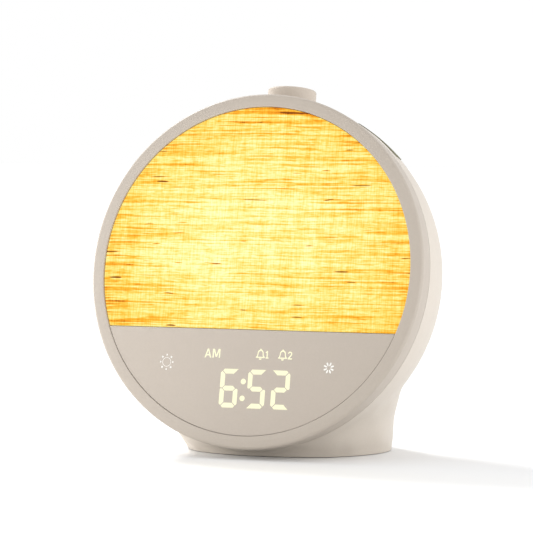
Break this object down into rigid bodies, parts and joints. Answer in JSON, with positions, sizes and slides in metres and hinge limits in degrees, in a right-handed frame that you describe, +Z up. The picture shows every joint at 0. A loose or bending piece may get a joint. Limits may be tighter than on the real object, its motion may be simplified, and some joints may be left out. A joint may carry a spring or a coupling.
{
  "type": "sunrise alarm clock",
  "caption": "Round-faced sunrise alarm clock: leaning linen-covered glowing disc over a touch display, domed rear shell on an oval foot, push knob on top, two shoulder keys, rear speaker.",
  "frame": {"origin": "middle of the bounding box, on the floor the foot stands on", "axes": "+X to the clock's right as seen from the front, -Y out of the face, +Z up"},
  "size_m": [0.1678, 0.1012, 0.1737],
  "materials": {
    "shell": "satin warm white",
    "shell_front": "fine matt",
    "panel": "fine matt, lets light through",
    "linen": "slubby linen weave, lit from behind",
    "diffuser": "opal",
    "white_tray": "white reflector",
    "steel_screw": "zinc plated",
    "circuit_board": "solder mask",
    "led_amber": "clear epoxy",
    "digit_light": "lit from behind, emissive",
    "icon_light": "lit from behind, emissive",
    "black_plastic": "fine matt",
    "copper_pad": "bare copper",
    "grey_foam": "open cell foam",
    "ribbon_cable": "flat flexible cable",
    "chip_black": "moulded epoxy",
    "cell_steel": "plated can",
    "pressed_steel": "black pressed steel",
    "magnet": "dull ferrite",
    "speaker_paper": "pulp cone",
    "nut_brass": "turned",
    "shaft_steel": "turned",
    "knob": "fine matt",
    "key_rubber": "matt silicone",
    "port_steel": "plated",
    "base_grey": "fine matt",
    "foot_rubber": "matt",
    "ballast_steel": "oiled"
  },
  "bodies": {
    "housing": {"alarm_markers": "digit_light", "am_marker": "digit_light", "backup_cell": "cell_steel", "ballast_screws": "steel_screw", "ballast_weight": "ballast_steel", "base_plate": "base_grey", "base_screws": "steel_screw", "board_chips": "chip_black", "board_screws": "steel_screw", "cell_holder": "black_plastic", "diffuser_plate": "diffuser", "display_board": "circuit_board", "display_leds": "led_amber", "display_panel": "panel", "display_ribbon": "ribbon_cable", "encoder_body": "black_plastic", "encoder_nut": "nut_brass", "fabric_cover": "linen", "front_ring": "shell_front", "key_board": "circuit_board", "key_switches": "black_plastic", "led_board": "circuit_board", "led_chips": "led_amber", "light_mask": "black_plastic", "light_tray": "white_tray", "main_board": "circuit_board", "power_board": "circuit_board", "rear_shell": "shell", "rubber_foot": "foot_rubber", "speaker_basket": "pressed_steel", "speaker_cone": "speaker_paper", "speaker_grille": "shell", "speaker_magnet": "magnet", "speaker_screws": "steel_screw", "time_digits": "digit_light", "touch_electrodes": "copper_pad", "touch_foam_blocks": "grey_foam", "touch_icons": "icon_light", "tray_screws": "steel_screw", "usb_port": "port_steel", "usb_tongue": "black_plastic"},
    "knob_plunger": {"switch_plunger": "black_plastic"},
    "knob": {"encoder_shaft": "shaft_steel", "knob_cap": "knob"},
    "key_left": {"key_left": "key_rubber"},
    "key_right": {"key_right": "key_rubber"}
  },
  "joints": [
    {"name": "knob_push", "type": "slide", "parent": "housing", "child": "knob_plunger", "axis": [0, -0.1896, -0.9819], "range_m": [0, 0.0005], "stiffness_N_per_m": 6000, "springref_m": -0.0003},
    {"name": "knob_turn", "type": "hinge", "parent": "knob_plunger", "child": "knob", "pos_m": [0, 0.00938, 0.16046], "axis": [0, 0.1896, 0.9819], "continuous": true},
    {"name": "key_left_push", "type": "slide", "parent": "housing", "child": "key_left", "axis": [-0.5344, -0.1603, -0.8299], "range_m": [0, 0.0005], "stiffness_N_per_m": 3000, "springref_m": -0.0003},
    {"name": "key_right_push", "type": "slide", "parent": "housing", "child": "key_right", "axis": [-0.6652, -0.1416, -0.7331], "range_m": [0, 0.0005], "stiffness_N_per_m": 3000, "springref_m": -0.0003}
  ]
}
